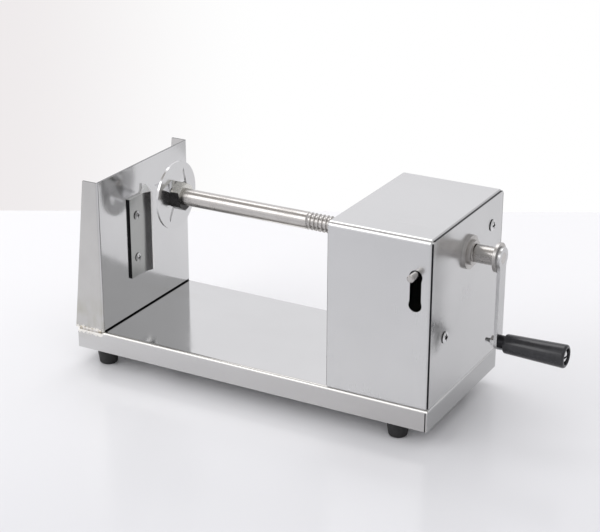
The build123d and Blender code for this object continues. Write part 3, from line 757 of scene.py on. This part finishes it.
def make_grip():
    """The tapered grip with its recessed end, and the slotted bolt that it turns on."""
    low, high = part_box("crank_grip")
    y, z = (low.y + high.y) / 2, (low.z + high.z) / 2
    x0, x1 = low.x, high.x
    thin, thick = 8.6 * MM, 10.3 * MM
    near, far = 2.0 * MM, 2.2 * MM
    bore = 2.6 * MM
    recess_radius = 7.2 * MM
    floor_x = x1 - 3.4 * MM
    profile = [(x0, bore)] + rounded((x0 + near, thin - near), near, 180, 92)
    profile += rounded((x1 - far, thick - far), far, 88, 0, 8)
    profile += [(x1, 7.6 * MM), (x1 - 0.5 * MM, recess_radius)]
    profile += [(floor_x, recess_radius), (floor_x, bore)]
    shape = Shape()
    shape.turned(profile, (0.0, y, z), "X", around=72)
    piece(
        "moulded_grip", shape.verts, shape.faces, plastic, "crank_grip", "grip"
    )

    bolt_low, bolt_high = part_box("grip_bolt")
    bolt = Shape()
    seat = bolt_high.x - 3.0 * MM
    screw_head(bolt, (seat, y, z), 5.9 * MM, 2.6 * MM, "slot")
    shank(bolt, bolt_low.x, seat, 2.5 * MM, (0, y, z), screw_pitch)
    piece(
        "fine_grip_bolt", bolt.verts, bolt.faces, screw_steel, "grip_bolt",
        "feed_screw", crease=28,
    )


def make_spring():
    """The return spring as a coil, fixed in place."""
    low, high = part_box("return_spring")
    wire = 0.7 * MM
    turns, steps, around = 5, 24, 8
    x, y = (low.x + high.x) / 2, (low.y + high.y) / 2
    radius = (high.y - low.y) / 2 - wire
    rings = []
    for i in range(turns * steps + 1):
        turn = i / steps
        out = Vector((math.cos(turn * math.tau), math.sin(turn * math.tau), 0))
        rise = (high.z - low.z - 2 * wire) * turn / turns
        middle = Vector((x, y, low.z + wire + rise)) + radius * out
        ring = []
        for k in range(around):
            angle = -math.tau * k / around
            around_wire = math.cos(angle) * out + math.sin(angle) * Vector((0, 0, 1))
            ring.append(middle + wire * around_wire)
        rings.append(ring)
    shape = Shape()
    shape.ring_stack(rings)
    mesh = bpy.data.meshes.new("coiled_spring")
    mesh.from_pydata([tuple(v) for v in shape.verts], [], shape.faces)
    for polygon in mesh.polygons:
        polygon.use_smooth = True
    mesh.materials.append(spring_metal)
    thing = bpy.data.objects.new("coiled_spring", mesh)
    scene.collection.objects.link(thing)
    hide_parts("return_spring")
    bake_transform(thing)


make_tray()
make_upright()
make_spring()
for foot in ("foot_front_left", "foot_front_right", "foot_rear_left", "foot_rear_right"):
    make_foot(foot)
make_screws()
make_grip()


# ---------------------------------------------------------------- feed shaft with its thread
thread_pitch = 4.0 * MM
thread_depth = 1.5 * MM
thread_x0 = tray_low.x + 204 * MM
thread_x1 = tray_low.x + 368 * MM
spigot_radius = 5.0 * MM


def thread_profile(phase):
    """Depth of a rounded trapezoid thread, from 0 at its crest to 1 at its root."""
    phase = phase % 1.0
    if phase < 0.25:
        return 0.0
    if phase < 0.45:
        return (phase - 0.25) / 0.20
    if phase < 0.80:
        return 1.0
    return (1.0 - phase) / 0.20


def shaft_radius_at(x, turn):
    fade_in = min(1.0, max(0.0, (x - thread_x0) / thread_pitch))
    fade_out = min(1.0, max(0.0, (thread_x1 - x) / thread_pitch))
    depth = thread_profile(x / thread_pitch - turn) * min(fade_in, fade_out)
    return shaft_radius - thread_depth * depth


def make_shaft():
    around = 48
    stations = [(shaft_low.x, spigot_radius), (disc_high.x, spigot_radius)]
    stations += [(disc_high.x, None), (thread_x0, None)]
    count = int((thread_x1 - thread_x0) / (thread_pitch / 10))
    stations += [(thread_x0 + (thread_x1 - thread_x0) * i / count, None) for i in range(1, count + 1)]
    stations += [(arm_low.x, None), (arm_low.x, spigot_radius), (shaft_high.x, spigot_radius)]
    verts = []
    for x, radius in stations:
        for i in range(around):
            turn = i / around
            r = radius or shaft_radius_at(x, turn)
            angle = turn * math.tau
            verts.append((x, axis_y + r * math.cos(angle), axis_z + r * math.sin(angle)))
    faces = []
    for s in range(len(stations) - 1):
        for i in range(around):
            j = (i + 1) % around
            faces.append((s * around + i, s * around + j, (s + 1) * around + j, (s + 1) * around + i))
    faces.append(tuple(range(around - 1, -1, -1)))
    last = (len(stations) - 1) * around
    faces.append(tuple(last + i for i in range(around)))
    mesh = bpy.data.meshes.new("threaded_shaft")
    mesh.from_pydata(verts, [], faces)
    mesh.update()
    for polygon in mesh.polygons:
        polygon.use_smooth = True
    mesh.set_sharp_from_angle(angle=math.radians(32))
    shaft = bpy.data.objects.new("threaded_shaft", mesh)
    scene.collection.objects.link(shaft)
    mesh.materials.append(shaft_metal)
    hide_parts("feed_shaft")
    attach(shaft, "feed_screw")


make_shaft()


# ---------------------------------------------------------------- floor, backdrop and light
view_azimuth = math.radians(28.756)
view_elevation = math.radians(21.978)
view_roll = math.radians(0.174)
camera_place = Vector((0.631695, -1.20114, 0.664900))
camera_lens = 98.307

ahead = Vector((-math.sin(view_azimuth), math.cos(view_azimuth), 0))
sideways = Vector((math.cos(view_azimuth), math.sin(view_azimuth), 0))


def quad(name, corners, material):
    mesh = bpy.data.meshes.new(name)
    mesh.from_pydata(corners, [], [tuple(range(len(corners)))])
    mesh.materials.append(material)
    thing = bpy.data.objects.new(name, mesh)
    scene.collection.objects.link(thing)
    return thing


def floor_material():
    """A glossy pale table: lighter far away, with painted shade making it a little darker and bluer
    towards the viewer.
    """
    material, t = new_material("pale_table")
    place = t.add("ShaderNodeTexCoord").outputs["Object"]
    spread = t.along(place, ahead)
    # painted shade: the table's base darkens towards the viewer, standing in for light falling off
    near = t.ramp(spread, 0.30, -0.75, kind="SMOOTHSTEP")
    base = t.mix(near, (0.93, 0.925, 0.94, 1), (0.70, 0.70, 0.73, 1))
    finish_material(t, {"Base Color": base, "Roughness": 0.22, "Specular IOR Level": 0.35})
    return material


far_edge = 1.82 * ahead + Vector((camera_place.x, camera_place.y, 0))
near_edge = far_edge - 6.0 * ahead
half_width = 3.5 * sideways
quad(
    "table",
    [near_edge - half_width, near_edge + half_width, far_edge + half_width, far_edge - half_width],
    floor_material(),
)


def set_world():
    """White all round; shiny surfaces mirror it greyer to the right and in one soft patch."""
    world = bpy.data.worlds.new("studio")
    world.use_nodes = True
    scene.world = world
    t = Tree(world.node_tree)
    place = t.add("ShaderNodeTexCoord").outputs["Generated"]
    ways = t.axes(place)
    right = t.ramp(ways[0], -0.10, 0.55, kind="SMOOTHSTEP")
    # painted shade: the backdrop the camera sees darkens to a pinkish grey towards the left
    seen = t.along(place, sideways)
    left = t.ramp(seen, -0.02, -0.19, kind="SMOOTHSTEP")
    backdrop = t.mix(left, (1.0, 1.0, 1.0, 1), (0.86, 0.83, 0.835, 1))
    mirrored = t.mix(right, (1.0, 0.995, 1.02, 1), (0.62, 0.62, 0.63, 1))
    patch_way = Vector((-0.446, -0.176, 0.879)).normalized()
    patch = t.along(place, patch_way)
    patch = t.ramp(patch, math.cos(math.radians(21)), math.cos(math.radians(11)), kind="SMOOTHSTEP")
    mirrored = t.mix(patch, mirrored, (0.50, 0.48, 0.46, 1))
    path = t.add("ShaderNodeLightPath").outputs
    shiny = t.math("MAXIMUM", path["Is Glossy Ray"], path["Is Transmission Ray"])
    colour = t.mix(shiny, (0.84, 0.84, 0.85, 1), mirrored)
    colour = t.mix(path["Is Camera Ray"], colour, backdrop)
    shader = t.add("ShaderNodeBackground", {"Color": colour, "Strength": 1.0})
    output = t.add("ShaderNodeOutputWorld")
    t.tree.links.new(shader.outputs[0], output.inputs[0])


def soft_box(name, place, target, width, height, power):
    lamp = bpy.data.lights.new(name, "AREA")
    lamp.shape = "RECTANGLE"
    lamp.size = width
    lamp.size_y = height
    lamp.energy = power
    thing = bpy.data.objects.new(name, lamp)
    thing.location = place
    thing.rotation_euler = (Vector(target) - Vector(place)).to_track_quat("-Z", "Y").to_euler()
    scene.collection.objects.link(thing)


set_world()
soft_box("key", (-0.95, -1.55, 1.35), (0, 0, 0.1), 1.4, 0.9, 7.0)
soft_box("top", (-0.5, 0.7, 1.8), (0, 0, 0.1), 1.4, 0.8, 6.0)


def set_camera():
    """The camera that was fitted to the photograph's straight edges."""
    back = Vector(
        (
            math.sin(view_azimuth) * math.cos(view_elevation),
            -math.cos(view_azimuth) * math.cos(view_elevation),
            math.sin(view_elevation),
        )
    )
    right = Vector((0, 0, 1)).cross(back).normalized()
    up = back.cross(right)
    turned_right = math.cos(view_roll) * right + math.sin(view_roll) * up
    turned_up = -math.sin(view_roll) * right + math.cos(view_roll) * up
    lens = bpy.data.cameras.new("view")
    lens.lens = camera_lens
    lens.sensor_width = 36.0
    lens.clip_end = 50.0
    camera = bpy.data.objects.new("view", lens)
    camera.matrix_world = Matrix.Translation(camera_place) @ Matrix(
        (
            (turned_right.x, turned_up.x, back.x),
            (turned_right.y, turned_up.y, back.y),
            (turned_right.z, turned_up.z, back.z),
        )
    ).to_4x4()
    scene.collection.objects.link(camera)
    scene.camera = camera


set_camera()
scene.view_settings.view_transform = "Standard"
